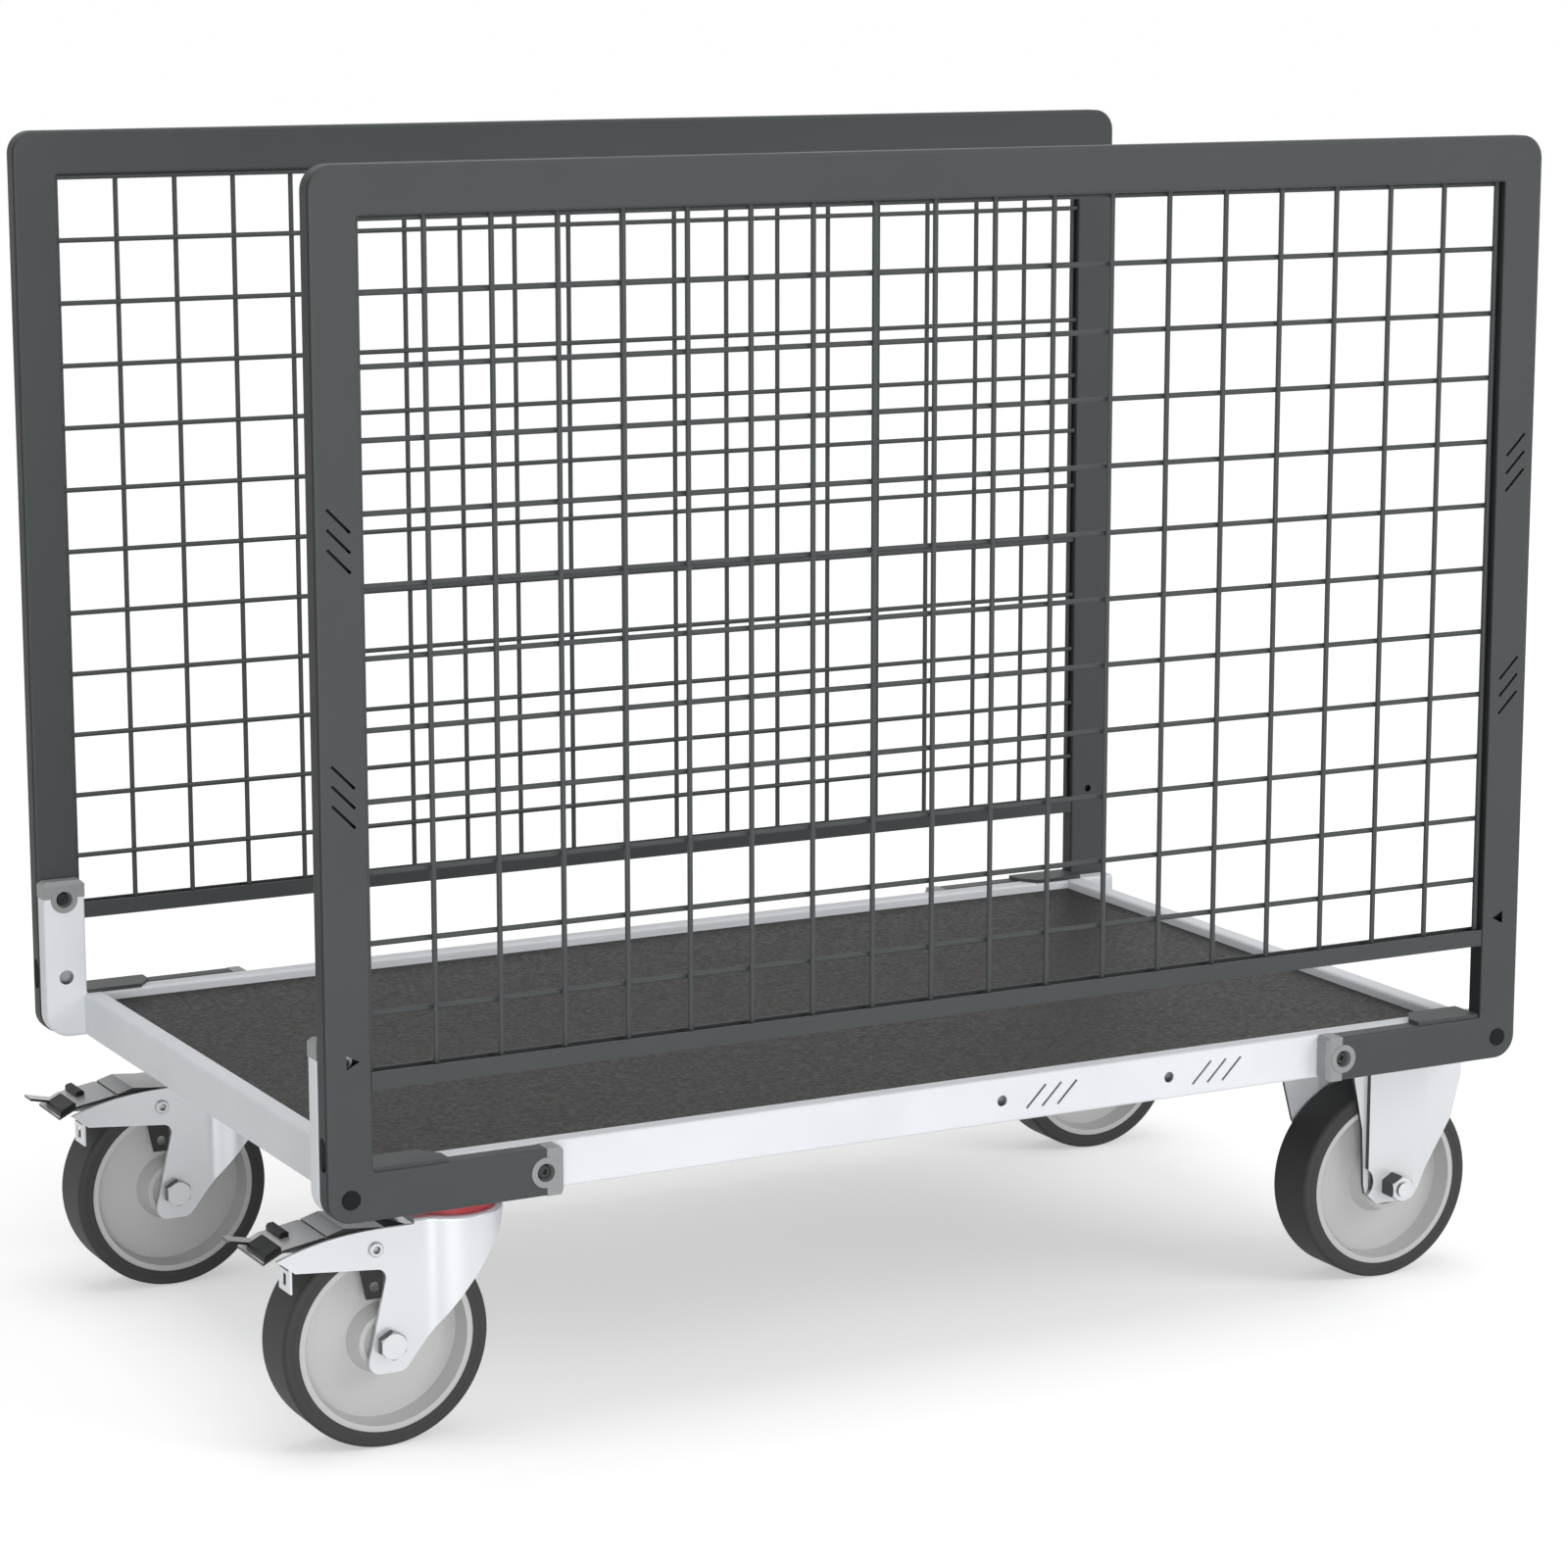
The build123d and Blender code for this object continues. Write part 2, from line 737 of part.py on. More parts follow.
race_low = plate_low - race_boss_height - race_height
seal_outer_radius = flange_radius + seal_gap + seal_wall


def swivel_race():
    return ring_of(race_inner_radius, race_outer_radius, race_low, race_low + race_height)


# Seal that sits on the race's boss and hangs down round the fork's flange
def swivel_seal():
    low = race_low + race_height
    high = low + seal_top
    skirt = ring_of(seal_outer_radius - seal_wall, seal_outer_radius, fork_top + turn_gap, high)
    return skirt + ring_of(race_boss_radius + weld_gap, seal_outer_radius, low, high)


# Outline of a swivel fork's leg seen from the side: brake arm, cover, knee, foot and window
def swivel_leg_outline():
    foot_z = axle_z - leg_foot_drop
    knee = (swivel_trail + leg_knee_reach, 0, fork_top - leg_knee_drop)
    foot_front = (leg_foot_front, 0, foot_z)
    foot_back = (-leg_foot_back, 0, foot_z)
    window = (-leg_window_x, 0, pedal_pivot_z - leg_window_drop)
    arm_root = (-pedal_pivot_x, 0, arm_top)
    arm_middle = (-(pedal_pivot_x + arm_reach) / 2, 0, arm_top - arm_droop / 4)
    arm_end = (-arm_reach, 0, arm_top - arm_droop)
    edges = Polyline(
        arm_root,
        (swivel_trail - cover_reach, 0, arm_top),
        (swivel_trail - cover_reach, 0, fork_top),
        (swivel_trail + head_radius, 0, fork_top),
        (swivel_trail + leg_head_reach, 0, fork_top - fork_plate),
        knee,
        foot_front,
        foot_back,
        window,
        (-arm_low_reach, 0, pedal_pivot_z - arm_low_drop),
        arm_end,
    )
    outline = make_face([edges, ThreePointArc(arm_end, arm_middle, arm_root)])
    for corner, radius in (
        (knee, leg_knee_round),
        (foot_front, leg_foot_round),
        (foot_back, leg_foot_round),
        (window, leg_window_round),
    ):
        outline = fillet(outline.vertices().sort_by_distance(corner)[0], radius)
    return outline


def swivel_fork():
    back = -(pedal_reach + fork_outer)
    strip = Pos((back + swivel_trail) / 2, 0) * Rectangle(swivel_trail - back, 2 * fork_outer)
    plan = strip + Pos(swivel_trail, 0) * Circle(head_radius)
    waist = [corner for corner in plan.vertices() if 0 < corner.X < swivel_trail]
    plan = fillet(waist, head_blend)
    block = extrude(plan, fork_top)
    block = fillet(block.faces().sort_by(Axis.Z)[-1].edges(), fork_edge)
    walls = block - extrude(offset(plan, -fork_wall), fork_top)
    walls = walls & extrude(swivel_leg_outline(), 2 * head_radius, both=True, dir=(0, 1, 0))
    cover = block & box(
        swivel_trail - cover_reach,
        swivel_trail + head_radius,
        -head_radius,
        head_radius,
        fork_top - fork_plate,
        fork_top,
    )
    neck_top = race_low - turn_gap
    head = upright(neck_radius, fork_top, neck_top) + upright(
        flange_radius, neck_top - flange_thickness, neck_top
    )
    bore = upright(king_pin_radius + running_clearance, 0, castor_height)
    fork = walls + cover + Pos(swivel_trail, 0, 0) * head - Pos(swivel_trail, 0, 0) * bore
    fork += brake_arm_tab()
    fork -= axle_bores(fork_outer)
    return fork - Pos(-pedal_pivot_x, 0, pedal_pivot_z) * across(
        pin_radius + weld_gap, -fork_outer - cut_margin, fork_outer + cut_margin
    )


# Tab with a square hole, folded in from the end of the front brake arm
def brake_arm_tab():
    x_low = -tab_reach
    x_high = x_low + tab_wall
    z_high = pedal_pivot_z - tab_top_drop
    z_low = z_high - tab_height
    tab = box(x_low, x_high, -fork_outer, -fork_outer + tab_depth, z_low, z_high)
    root = box(x_low, x_high, -fork_outer, -fork_gap, z_low, z_high + tab_root_rise)
    middle = -fork_outer + (fork_wall + tab_depth) / 2
    hole_top = z_high - tab_hole_edge
    hole = box(
        x_low, x_high, middle - tab_hole / 2, middle + tab_hole / 2, hole_top - tab_hole, hole_top
    )
    return tab + root - hole


# Stub pins, one in each leg, that carry the pedal
def pedal_pins():
    face = -fork_outer - pin_head_height
    shank = across(pin_radius, -fork_outer, -pedal_inner + weld_gap)
    head = across(pin_head_radius, face, -fork_outer)
    head = chamfer(head.edges().sort_by(Axis.Y)[0], pin_head_height / 2)
    hollow = across(pin_hollow_radius, face, face + pin_hollow_depth)
    pin = Pos(-pedal_pivot_x, 0, pedal_pivot_z) * (head + shank - hollow)
    return [pin, mirror(pin, about=Plane.XZ)]


# Corners of the pedal's upper face, from its nose to its end
pedal_line = [
    (-pedal_nose, arm_top),
    (-pedal_crest, fork_top - pedal_crest_drop),
    (-pedal_fold, fork_top - pedal_fold_drop),
    (-pedal_bend, fork_top - pedal_bend_drop),
    (-pedal_end, fork_top - pedal_end_drop),
]


def pedal_height(x):
    for (x_high, z_high), (x_low, z_low) in zip(pedal_line, pedal_line[1:]):
        if x_low <= x <= x_high:
            return z_low + (z_high - z_low) * (x - x_low) / (x_high - x_low)


def pedal():
    lower = [(x, z - pedal_plate_thickness) for x, z in reversed(pedal_line)]
    plate = side_plate(pedal_line + lower, -pedal_outer, pedal_outer)
    tip = (-pedal_reach, fork_top - tongue_drop)
    root = (-tongue_root, pedal_height(-tongue_root))
    under_tip = (tip[0], tip[1] - pedal_plate_thickness)
    under_root = (root[0], root[1] - pedal_plate_thickness)
    tongue = side_plate([root, tip, under_tip, under_root], pedal_outer - tongue_width, pedal_outer)
    x = -pedal_pivot_x
    z = pedal_pivot_z
    outline = pedal_line[:3] + [
        (-cheek_reach, pedal_height(-cheek_reach)),
        (x - 2 * cheek_half, z - cheek_half),
        (x - cheek_half, z - cheek_drop),
        (x + cheek_half, z - cheek_drop),
        (x + cheek_half, z),
    ]
    cheek = side_plate(outline, -pedal_outer, -pedal_inner)
    hole_z = z - cheek_drop + cheek_hole_rise
    cheek -= Pos(x, 0, hole_z) * across(cheek_hole_radius, -pedal_outer, -pedal_inner)
    body = plate + tongue + cheek + mirror(cheek, about=Plane.XZ)
    groove_low = pedal_height(-pedal_fold) - pedal_groove_depth
    groove_start = -pedal_fold - pedal_groove_width / 2
    body -= box(
        groove_start, groove_start + pedal_groove_width, -pedal_outer, pedal_outer, groove_low, fork_top
    )
    return body - Pos(x, 0, z) * across(pin_radius + running_clearance, -fork_outer, fork_outer)


# Bar of tread on the pedal's upper face
def tread_bar(x_high, x_low, y_low, y_high):
    bevel = tread_height / 3
    points = [
        (x_high, pedal_height(x_high)),
        (x_low, pedal_height(x_low)),
        (x_low, pedal_height(x_low) + tread_height - bevel),
        (x_low + bevel, pedal_height(x_low + bevel) + tread_height),
        (x_high - bevel, pedal_height(x_high - bevel) + tread_height),
        (x_high, pedal_height(x_high) + tread_height - bevel),
    ]
    return side_plate(points, y_low, y_high)


# One bar across the pedal's back half and one on its bent end, beside the tongue
def pedal_treads():
    inner_end = -inner_tread_start - inner_tread_length
    tongue_side = pedal_outer - tongue_width - end_tread_margin
    return [
        tread_bar(-inner_tread_start, inner_end, -inner_tread_side, pedal_outer),
        tread_bar(-pedal_bend - end_tread_margin, -pedal_end + end_tread_margin, -pedal_outer, tongue_side),
    ]


# Fixed castor fork: the far leg is the near leg turned half round.
# A leg is one sheet with a raised panel, with a sharp step at its back and a slope at its front.
# A round notch opens the step beside the axle.
def fixed_leg():
    front = plate_length / 2
    back = -fixed_leg_back
    step = -fixed_panel_back
    slope_end = fixed_panel_front + fixed_panel_slope
    section = [
        (back, -fixed_sheet_outer),
        (step, -fixed_sheet_outer),
        (step, -fixed_panel_outer),
        (fixed_panel_front, -fixed_panel_outer),
        (slope_end, -fixed_sheet_outer),
        (front, -fixed_sheet_outer),
        (front, -pedal_inner),
        (slope_end, -pedal_inner),
        (fixed_panel_front, -fixed_panel_inner),
        (step + fork_wall, -fixed_panel_inner),
        (step + fork_wall, -pedal_inner),
        (back, -pedal_inner),
    ]
    knee_z = axle_z + fixed_knee_rise
    foot_z = axle_z - fixed_foot_drop
    outline = [
        (back, plate_low),
        (back, fork_top),
        (-fixed_knee_back, knee_z),
        (-fixed_foot_back, foot_z + 2 * fixed_foot_corner),
        (step, foot_z + fixed_foot_corner),
        (step + fixed_foot_corner, foot_z),
        (fixed_foot_front - fixed_foot_corner, foot_z),
        (fixed_foot_front, foot_z + fixed_foot_corner),
        (fixed_knee_front, knee_z),
        (front, fork_top - fixed_shoulder),
        (front, plate_low),
    ]
    leg = top_plate(section, 0, plate_low) & side_plate(outline, -fixed_panel_outer, -pedal_inner)
    notch_x = step + fixed_notch_depth - fixed_notch_radius
    notch = across(fixed_notch_radius, -fixed_panel_outer, -fixed_sheet_outer)
    return leg - Pos(notch_x, 0, axle_z + fixed_notch_rise) * notch


def fixed_fork():
    plate = Pos(0, 0, plate_low) * extrude(
        RectangleRounded(plate_length, plate_width, plate_corner), plate_thickness
    )
    leg = fixed_leg()
    return plate + leg + turned(leg) - axle_bores(fixed_panel_outer)


# Put every piece in its place and write it out
def placed(piece, x, y):
    return Pos(x, y, 0) * piece


def both_sides(pieces):
    return pieces + [turned(piece) for piece in pieces]


def both_posts(piece):
    return [post_place() * piece, mirrored(post_place() * piece)]


holes = bolt_holes(0, deck_low)
nodes = {}

top_rail, left_stile, right_stile, feet = panel_frame()
nodes["front_top_rail"] = [top_rail]
nodes["back_top_rail"] = [turned(top_rail)]
nodes["front_left_stile"] = [left_stile]
nodes["front_right_stile"] = [right_stile]
nodes["back_left_stile"] = [turned(right_stile)]
nodes["back_right_stile"] = [turned(left_stile)]
nodes["panel_feet"] = both_sides(list(feet.solids()))
nodes["front_lower_rail"] = [lower_rail()]
nodes["back_lower_rail"] = [turned(lower_rail())]
nodes["front_upright_wires"] = upright_wires()
nodes["back_upright_wires"] = [turned(wire) for wire in upright_wires()]
nodes["front_cross_wires"] = cross_wires()
nodes["back_cross_wires"] = [turned(wire) for wire in cross_wires()]
nodes["panel_lugs"] = both_sides(panel_lugs())

side_rail, post = side_frame()
nodes["front_side_rail"] = [side_rail]
nodes["back_side_rail"] = [mirrored(side_rail)]
nodes["corner_posts"] = [post, mirrored(post)]
right_end_rail = end_rail()
nodes["left_end_rail"] = [turned(right_end_rail)]
nodes["right_end_rail"] = [right_end_rail - holes]
nodes["deck"] = [deck_board()]
nodes["swivel_beam"] = [cross_beam(*swivel_beam_span) - holes]
nodes["middle_beam"] = [cross_beam(*middle_beam_span)]
nodes["fixed_beam"] = [cross_beam(*fixed_beam_span) - holes]
nodes["deck_ledges"] = deck_ledges()

nodes["foot_plugs"] = both_sides([place * tube_plug() for place in foot_places()])
nodes["post_plugs"] = both_posts(tube_plug())
nodes["panel_screws"] = both_sides([place * plug_screw() for place in foot_places()]) + both_posts(plug_screw())
nodes["panel_nuts"] = both_sides([place * plug_nut() for place in foot_places()]) + both_posts(plug_nut())
nodes["hole_plugs"] = both_sides(hole_plugs())

nodes["castor_bolts"] = castor_bolts()
nodes["castor_nuts"] = castor_nuts()
castor_sides = (("front", -castor_y), ("back", castor_y))
nodes["swivel_plates"] = [placed(swivel_plate(), swivel_axis_x, y) - holes for _, y in castor_sides]
nodes["swivel_races"] = [placed(swivel_race(), swivel_axis_x, y) for _, y in castor_sides]
nodes["swivel_seals"] = [placed(swivel_seal(), swivel_axis_x, y) for _, y in castor_sides]
nodes["fixed_axles"] = [
    placed(turned(piece), fixed_axle_x, y)
    for _, y in castor_sides
    for piece in axle_set(fixed_panel_outer, fixed_nut_length, fixed_axle_tip)
]
for name, y in castor_sides:
    nodes[name + "_swivel_fork"] = [placed(swivel_fork(), swivel_axle_x, y)]
    nodes[name + "_swivel_axle"] = [
        placed(piece, swivel_axle_x, y)
        for piece in axle_set(fork_outer, swivel_nut_length, swivel_axle_tip)
    ]
    nodes[name + "_pedal_pins"] = [placed(pin, swivel_axle_x, y) for pin in pedal_pins()]
    nodes[name + "_pedal"] = [placed(pedal(), swivel_axle_x, y)]
    nodes[name + "_pedal_treads"] = [placed(bar, swivel_axle_x, y) for bar in pedal_treads()]
    nodes[name + "_fixed_fork"] = [placed(fixed_fork(), fixed_axle_x, y) - holes]
    for end, x, leg_gap in (("left", swivel_axle_x, fork_gap), ("right", fixed_axle_x, fixed_panel_inner)):
        wheel = name + "_" + end
        nodes[wheel + "_tyre"] = [placed(tyre(), x, y)]
        nodes[wheel + "_rim"] = [placed(rim(), x, y)]
        nodes[wheel + "_bush"] = [placed(bush(leg_gap), x, y)]

os.makedirs("parts", exist_ok=True)
for name, pieces in nodes.items():
    moved = [Pos(origin_shift, 0, 0) * solid for piece in pieces for solid in piece.solids()]
    shape = moved[0] if len(moved) == 1 else Compound(children=moved)
    export_step(shape, "parts/" + name + ".step")
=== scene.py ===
import json
import math

import bpy
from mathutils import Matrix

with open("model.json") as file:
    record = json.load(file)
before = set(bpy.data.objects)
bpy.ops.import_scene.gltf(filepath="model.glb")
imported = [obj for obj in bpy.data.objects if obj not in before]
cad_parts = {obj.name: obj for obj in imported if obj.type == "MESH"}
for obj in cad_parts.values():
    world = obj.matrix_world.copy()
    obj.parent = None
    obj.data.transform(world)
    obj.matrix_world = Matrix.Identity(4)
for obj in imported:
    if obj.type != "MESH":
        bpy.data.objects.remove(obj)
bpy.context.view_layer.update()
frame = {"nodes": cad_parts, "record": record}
nodes = frame["nodes"]

# Camera, as in the photograph: a long lens from the left, a little above the top rails
camera_place = (-1.58725, -3.0354, 1.0675)
camera_turn_deg = 28.02
camera_down_deg = 10.856
camera_lens_mm = 99.718
camera_sensor_mm = 36.0
camera_far_limit = 1000.0

# Light: level of the surroundings
ambient_level = 0.44

# Floor: its size and surface, and how much it is lifted towards white near the object and far from it
floor_size = 400.0
floor_grey = 0.86
floor_roughness = 0.9
floor_near = 0.8
floor_far = 4.0
floor_lift_near = 0.44
floor_lift_far = 0.62

# Colours in linear light
anthracite = (0.058, 0.064, 0.066)
# painted shade for the tubes' end faces
anthracite_painted_side_shade = (0.014, 0.015, 0.016)
light_grey = (0.765, 0.787, 0.82)
board_grey = (0.020, 0.019, 0.018)
plug_grey = (0.27, 0.28, 0.285)
cap_black = (0.006, 0.007, 0.008)
seal_red = (0.40, 0.025, 0.035)
tyre_black = (0.039, 0.039, 0.039)
rim_grey = (0.53, 0.53, 0.53)
stamped_black = (0.024, 0.024, 0.024)
# painted highlight for the pedals' upper faces
pedal_painted_top_highlight = (0.50, 0.50, 0.50)
zinc_silver = (0.70, 0.72, 0.745)
# painted shade, a painted dark reflection, for the sides of bolts and pins
bolt_painted_side_shade = (0.055, 0.058, 0.060)
# painted shade for the steps of the fixed forks' folds
fold_painted_shade = (0.03, 0.032, 0.034)

# Zinc plate: how metallic it is where it is bright and where it is dull, and how rough
bright_zinc = 0.55
dull_zinc = 0.15
zinc_roughness = 0.30

# Mottle: the part of the noise's range that it spreads over
mottle_low = 0.3
mottle_high = 0.7

# The gloss of a surface varies this many times as much as its colour
gloss_per_spread = 3.0

# Strength of the broad and the fine relief
waves_strength = 0.25
grain_strength = 0.35


# Shader building
def link(material, out_node, out_name, in_node, in_name):
    material.node_tree.links.new(out_node.outputs[out_name], in_node.inputs[in_name])


def add_node(material, kind, **inputs):
    node = material.node_tree.nodes.new(kind)
    for name, value in inputs.items():
        node.inputs[name].default_value = value
    return node


def noise(material, scale, detail=4.0, stretch=(1.0, 1.0, 1.0)):
    place = add_node(material, "ShaderNodeTexCoord")
    mapping = add_node(material, "ShaderNodeMapping", Scale=stretch)
    link(material, place, "Object", mapping, "Vector")
    texture = add_node(material, "ShaderNodeTexNoise", Scale=scale, Detail=detail)
    link(material, mapping, "Vector", texture, "Vector")
    return texture


# Noise along the distance from a wheel's axle, which runs through the middle of the wheel's box
def ring_noise(material, scale):
    place = add_node(material, "ShaderNodeTexCoord")
    centred = add_node(material, "ShaderNodeMapping", Location=(-0.5, 0.0, -0.5), Scale=(1.0, 0.0, 1.0))
    link(material, place, "Generated", centred, "Vector")
    distance = add_node(material, "ShaderNodeVectorMath")
    distance.operation = "LENGTH"
    link(material, centred, "Vector", distance, "Vector")
    texture = add_node(material, "ShaderNodeTexNoise", Scale=scale, Detail=3.0)
    texture.noise_dimensions = "1D"
    link(material, distance, "Value", texture, "W")
    return texture


def ramp(material, texture, low, high):
    node = add_node(material, "ShaderNodeValToRGB")
    link(material, texture, "Fac", node, "Fac")
    first, last = node.color_ramp.elements
    first.position = mottle_low
    first.color = (*low, 1.0)
    last.position = mottle_high
    last.color = (*high, 1.0)
    return node


def shade(colour, share):
    return tuple(channel * share for channel in colour)


def grey(value):
    return (value, value, value)


# A surface with a mottled colour, an uneven gloss and a relief of two sizes
def surface(name, colour, spread, roughness, broad, fine, relief, metallic=0.0, specular=0.5):
    material = bpy.data.materials.new(name)
    material.use_nodes = True
    shader = material.node_tree.nodes["Principled BSDF"]
    shader.inputs["Metallic"].default_value = metallic
    shader.inputs["Specular IOR Level"].default_value = specular
    mottle = broad(material)
    tint = ramp(material, mottle, shade(colour, 1.0 - spread), shade(colour, 1.0 + spread))
    link(material, tint, "Color", shader, "Base Color")
    swing = gloss_per_spread * spread
    gloss = ramp(material, mottle, grey(roughness * (1.0 - swing)), grey(roughness * (1.0 + swing)))
    link(material, gloss, "Color", shader, "Roughness")
    waves = add_node(material, "ShaderNodeBump", Strength=waves_strength, Distance=relief)
    link(material, mottle, "Fac", waves, "Height")
    grain = add_node(material, "ShaderNodeBump", Strength=grain_strength, Distance=relief)
    link(material, fine(material), "Fac", grain, "Height")
    link(material, waves, "Normal", grain, "Normal")
    link(material, grain, "Normal", shader, "Normal")
    return material


# Powder coat: orange peel 2 to 3 mm across, on faint clouds of tone
def powder_coat(name, colour):
    return surface(
        name,
        colour,
        spread=0.04,
        roughness=0.52,
        broad=lambda material: noise(material, scale=12.0),
        fine=lambda material: noise(material, scale=420.0, detail=2.0),
        relief=0.00016,
        specular=0.25,
    )


# Plastic with the fine grain of its mould
def moulded(name, colour, roughness, specular=0.5):
    return surface(
        name,
        colour,
        spread=0.05,
        roughness=roughness,
        broad=lambda material: noise(material, scale=60.0),
        fine=lambda material: noise(material, scale=1500.0, detail=2.0),
        relief=0.00008,
        specular=specular,
    )


# Board with a fine pebbled face
def board(name, colour):
    return surface(
        name,
        colour,
        spread=0.07,
        roughness=0.55,
        broad=lambda material: noise(material, scale=240.0),
        fine=lambda material: noise(material, scale=650.0, detail=2.0),
        relief=0.00035,
        specular=0.2,
    )


# Moulded wheel centre with faint turning rings
def wheel_centre(name, colour):
    return surface(
        name,
        colour,
        spread=0.006,
        roughness=0.38,
        broad=lambda material: ring_noise(material, scale=38.0),
        fine=lambda material: noise(material, scale=1200.0, detail=2.0),
        relief=0.00001,
    )


# Rubber that is worn in rings round the wheel
def rubber(name, colour):
    return surface(
        name,
        colour,
        spread=0.10,
        roughness=0.66,
        broad=lambda material: ring_noise(material, scale=60.0),
        fine=lambda material: noise(material, scale=900.0, detail=3.0),
        relief=0.00018,
        specular=0.35,
    )


# Sheet with the faint long clouds of rolled steel
def plated(name, colour, metallic, roughness):
    clouds = (3.0, 1.0, 0.5)
    return surface(
        name,
        colour,
        spread=0.008,
        roughness=roughness,
        broad=lambda material: noise(material, scale=9.0, detail=2.0, stretch=clouds),
        fine=lambda material: noise(material, scale=900.0, detail=2.0),
        relief=0.00001,
        metallic=metallic,
    )


def zinc(name, colour, metallic=bright_zinc):
    return plated(name, colour, metallic, zinc_roughness)


# Painted light and shade: a tone that goes with the way a face is turned.
# dark_at and bright_at say how squarely a face meets the axis where it is dark and where it is bright.
def shaded(material, dark_colour, axis, dark_at, bright_at):
    shader = material.node_tree.nodes["Principled BSDF"]
    tint = shader.inputs["Base Color"].links[0].from_node
    place = add_node(material, "ShaderNodeTexCoord")
    facing = add_node(material, "ShaderNodeSeparateXYZ")
    link(material, place, "Normal", facing, "Vector")
    turn = add_node(material, "ShaderNodeMath")
    turn.operation = "ABSOLUTE"
    link(material, facing, axis, turn, "Value")
    share = add_node(material, "ShaderNodeMapRange")
    share.inputs["From Min"].default_value = dark_at
    share.inputs["From Max"].default_value = bright_at
    link(material, turn, "Value", share, "Value")
    blend = add_node(material, "ShaderNodeMixRGB", Color1=(*dark_colour, 1.0))
    link(material, share, "Result", blend, "Fac")
    link(material, tint, "Color", blend, "Color2")
    link(material, blend, "Color", shader, "Base Color")
    return material


# Finishes by the record's material slots
materials = {
    "anthracite_frame": powder_coat("anthracite_powder_coat", anthracite),
    "light_grey_frame": powder_coat("light_grey_powder_coat", light_grey),
    "deck_board": board("pebbled_board", board_grey),
    "grey_plastic": moulded("grey_plug_plastic", plug_grey, roughness=0.48),
    "black_plastic": moulded("black_cap_plastic", cap_black, roughness=0.42, specular=0.15),
    "red_seal": moulded("red_seal_plastic", seal_red, roughness=0.35),
    "tyre": rubber("tyre_rubber", tyre_black),
    "rim_plastic": wheel_centre("wheel_centre_plastic", rim_grey),
    "dark_steel": plated("black_stamped_steel", stamped_black, metallic=0.0, roughness=0.28),
    "zinc_steel": zinc("zinc_plated_steel", zinc_silver),
}

# Painted light and shade: the panels' tubes get painted shade on their end faces. Bolts and pins lie along Y
# and get painted shade, a painted dark reflection, round their sides, the fixed forks get painted shade on
# the steps of their folds, and the pedals get a painted highlight on their upper faces.
tube_painted_shade_finish = shaded(
    powder_coat("anthracite_tube_coat_painted_shade", anthracite),
    anthracite_painted_side_shade,
    axis="X",
    dark_at=0.9,
    bright_at=0.6,
)
bolt_painted_shade_finish = shaded(
    zinc("turned_bolt_steel_painted_shade", zinc_silver),
    bolt_painted_side_shade,
    axis="Y",
    dark_at=0.0,
    bright_at=1.0,
)
fork_painted_shade_finish = shaded(
    zinc("folded_zinc_steel_painted_shade", zinc_silver, dull_zinc),
    fold_painted_shade,
    axis="X",
    dark_at=0.9,
    bright_at=0.6,
)
pedal_painted_highlight_finish = shaded(
    zinc("stamped_pedal_steel_painted_highlight", pedal_painted_top_highlight),
    stamped_black,
    axis="Z",
    dark_at=0.2,
    bright_at=0.7,
)
finish_by_ending = {
    "_stile": tube_painted_shade_finish,
    "_top_rail": tube_painted_shade_finish,
    "panel_feet": tube_painted_shade_finish,
    "_axle": bolt_painted_shade_finish,
    "_axles": bolt_painted_shade_finish,
    "_pins": bolt_painted_shade_finish,
    "_fixed_fork": fork_painted_shade_finish,
    "_pedal": pedal_painted_highlight_finish,
}

for subpart in frame["record"]["subparts"]:
    name = subpart["node"]
    finish = materials[subpart["material_slot"]]
    for ending, special in finish_by_ending.items():
        if name.endswith(ending):
            finish = special
    nodes[name].data.materials.clear()
    nodes[name].data.materials.append(finish)


# Stage: what the camera and reflections see, as against what only lights the object
def seen_directly(tree):
    path = tree.nodes.new("ShaderNodeLightPath")
    total = path.outputs["Is Camera Ray"]
    for ray in ("Is Glossy Ray", "Is Transmission Ray"):
        either = tree.nodes.new("ShaderNodeMath")
        either.operation = "MAXIMUM"
        tree.links.new(total, either.inputs[0])
        tree.links.new(path.outputs[ray], either.inputs[1])
        total = either.outputs["Value"]
    return total


# Pale floor that looks white away from the object and keeps its shadow
def floor_material():
    material = bpy.data.materials.new("pale_floor")
    material.use_nodes = True
    tree = material.node_tree
    shader = tree.nodes["Principled BSDF"]
    shader.inputs["Base Color"].default_value = (*grey(floor_grey), 1.0)
    shader.inputs["Roughness"].default_value = floor_roughness
    shader.inputs["Specular IOR Level"].default_value = 0.0
    place = add_node(material, "ShaderNodeNewGeometry")
    distance = add_node(material, "ShaderNodeVectorMath")
    distance.operation = "LENGTH"
    link(material, place, "Position", distance, "Vector")
    lift = add_node(material, "ShaderNodeMapRange")
    lift.inputs["From Min"].default_value = floor_near
    lift.inputs["From Max"].default_value = floor_far
    lift.inputs["To Min"].default_value = floor_lift_near
    lift.inputs["To Max"].default_value = floor_lift_far
    link(material, distance, "Value", lift, "Value")
    share = add_node(material, "ShaderNodeMath")
    share.operation = "MULTIPLY"
    link(material, lift, "Result", share, 0)
    tree.links.new(seen_directly(tree), share.inputs[1])
    shader.inputs["Emission Color"].default_value = (1.0, 1.0, 1.0, 1.0)
    link(material, share, "Value", shader, "Emission Strength")
    return material


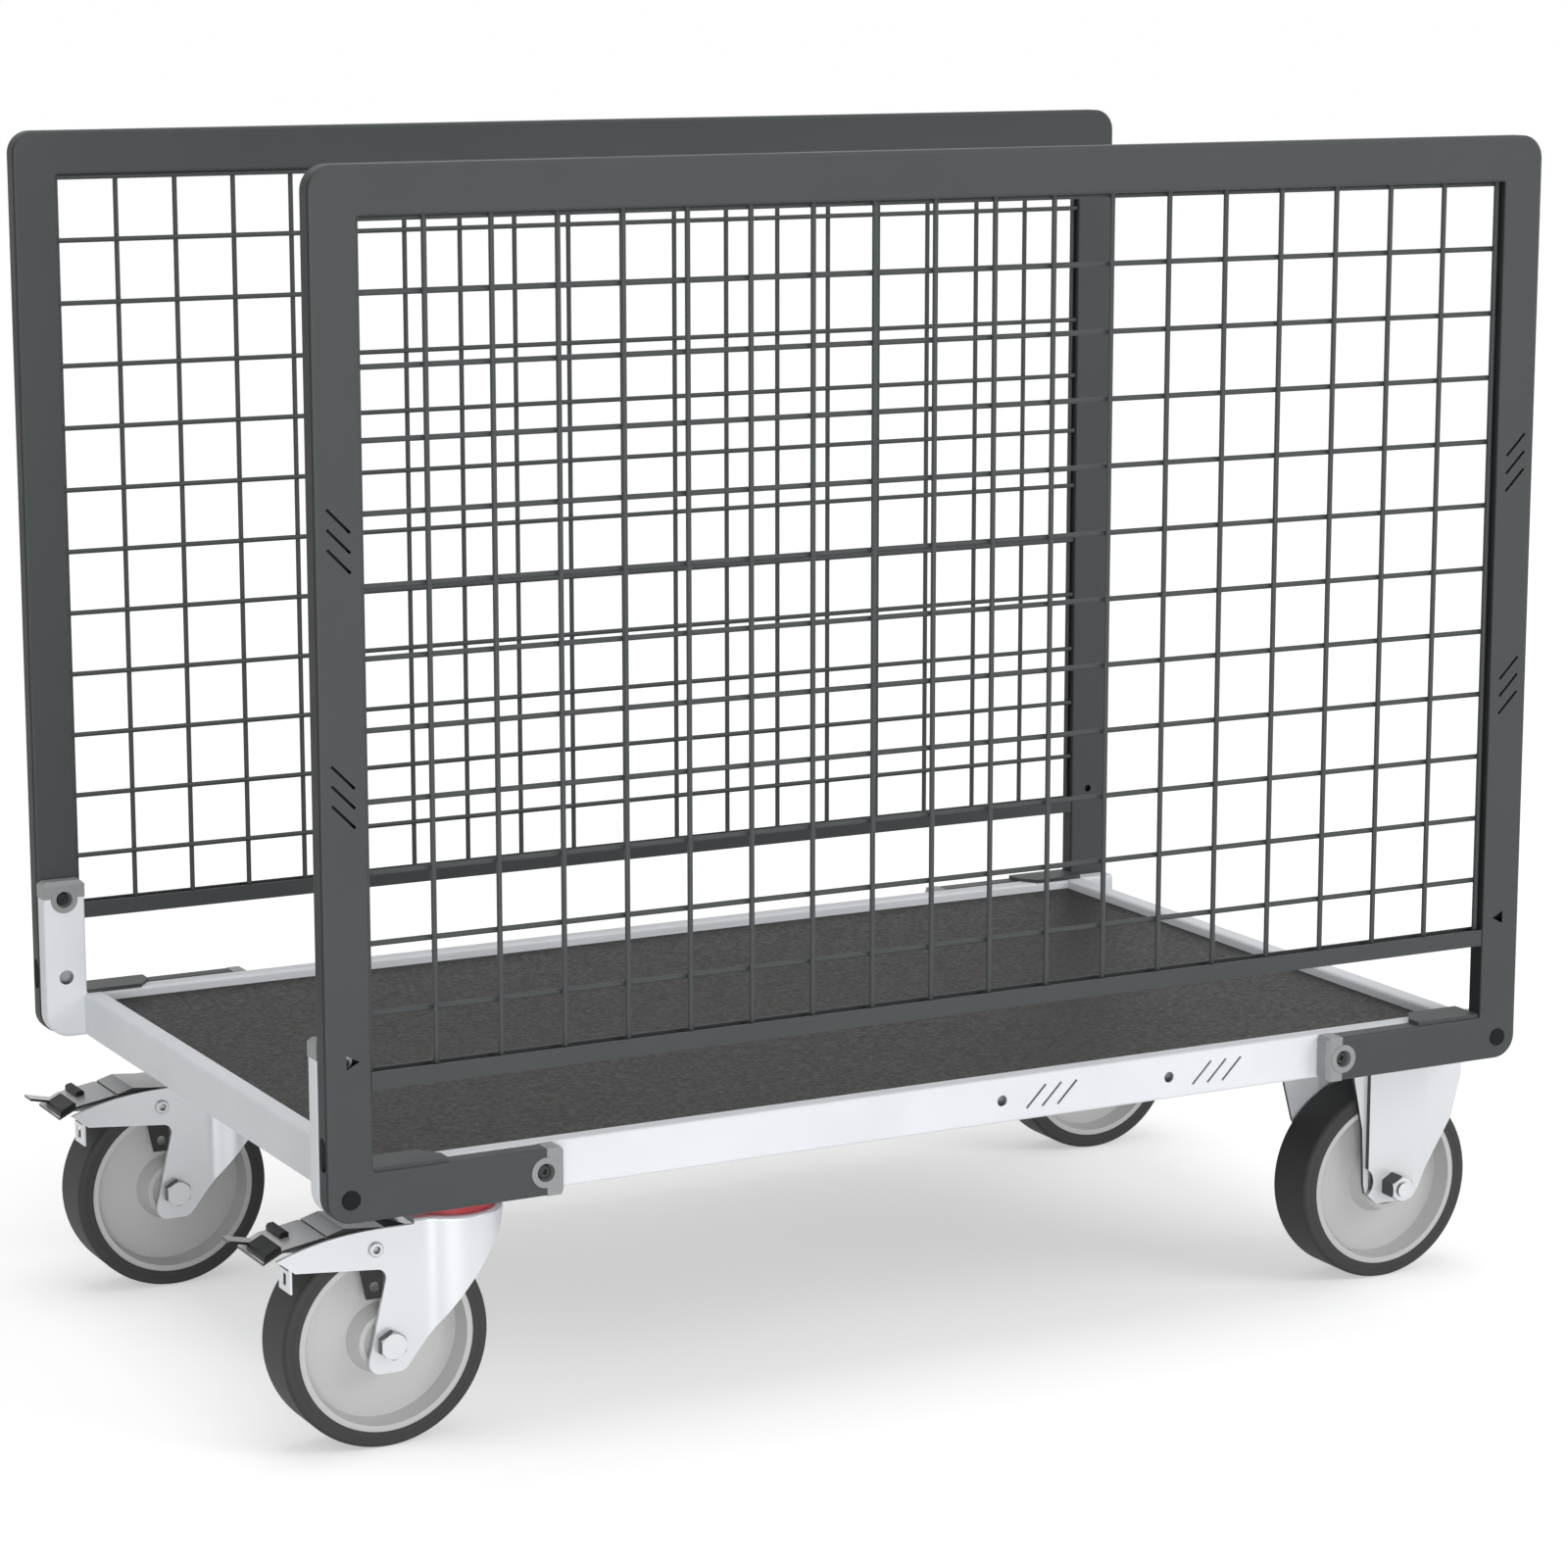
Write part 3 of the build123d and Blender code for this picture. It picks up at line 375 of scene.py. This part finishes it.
bpy.ops.mesh.primitive_plane_add(size=floor_size, location=(0.0, 0.0, 0.0))
floor = bpy.context.object
floor.name = "floor"
floor.data.materials.append(floor_material())


def world_light():
    world = bpy.data.worlds.new("studio")
    world.use_nodes = True
    tree = world.node_tree
    background = tree.nodes["Background"]
    background.inputs["Color"].default_value = (1.0, 1.0, 1.0, 1.0)
    level = tree.nodes.new("ShaderNodeMapRange")
    level.inputs["To Min"].default_value = ambient_level
    level.inputs["To Max"].default_value = 1.0
    tree.links.new(seen_directly(tree), level.inputs["Value"])
    tree.links.new(level.outputs["Result"], background.inputs["Strength"])
    bpy.context.scene.world = world


def softbox(name, place, target, size, power):
    light = bpy.data.lights.new(name, "AREA")
    light.shape = "RECTANGLE"
    light.size, light.size_y = size
    light.energy = power
    lamp = bpy.data.objects.new(name, light)
    bpy.context.scene.collection.objects.link(lamp)
    lamp.location = place
    aim = bpy.data.objects.new(name + "_aim", None)
    bpy.context.scene.collection.objects.link(aim)
    aim.location = target
    look = lamp.constraints.new("TRACK_TO")
    look.target = aim
    look.track_axis = "TRACK_NEGATIVE_Z"
    look.up_axis = "UP_Y"


# Lamps: a key from the front right, a wide one overhead, and a low one from the front left
world_light()
softbox("key", place=(3.2, -3.8, 2.8), target=(0.0, 0.0, 0.45), size=(3.0, 2.4), power=80.0)
softbox("top", place=(-0.2, 0.0, 4.4), target=(0.0, 0.0, 0.3), size=(3.6, 2.6), power=50.0)
softbox("low_fill", place=(-1.7, -4.4, 0.5), target=(0.1, 0.0, 0.2), size=(2.4, 0.9), power=80.0)

camera_data = bpy.data.cameras.new("camera")
camera_data.lens = camera_lens_mm
camera_data.sensor_width = camera_sensor_mm
camera_data.clip_end = camera_far_limit
camera = bpy.data.objects.new("camera", camera_data)
bpy.context.scene.collection.objects.link(camera)
camera.location = camera_place
camera.rotation_euler = (math.radians(90.0 - camera_down_deg), 0.0, math.radians(-camera_turn_deg))
bpy.context.scene.camera = camera
bpy.context.scene.view_settings.view_transform = "Standard"
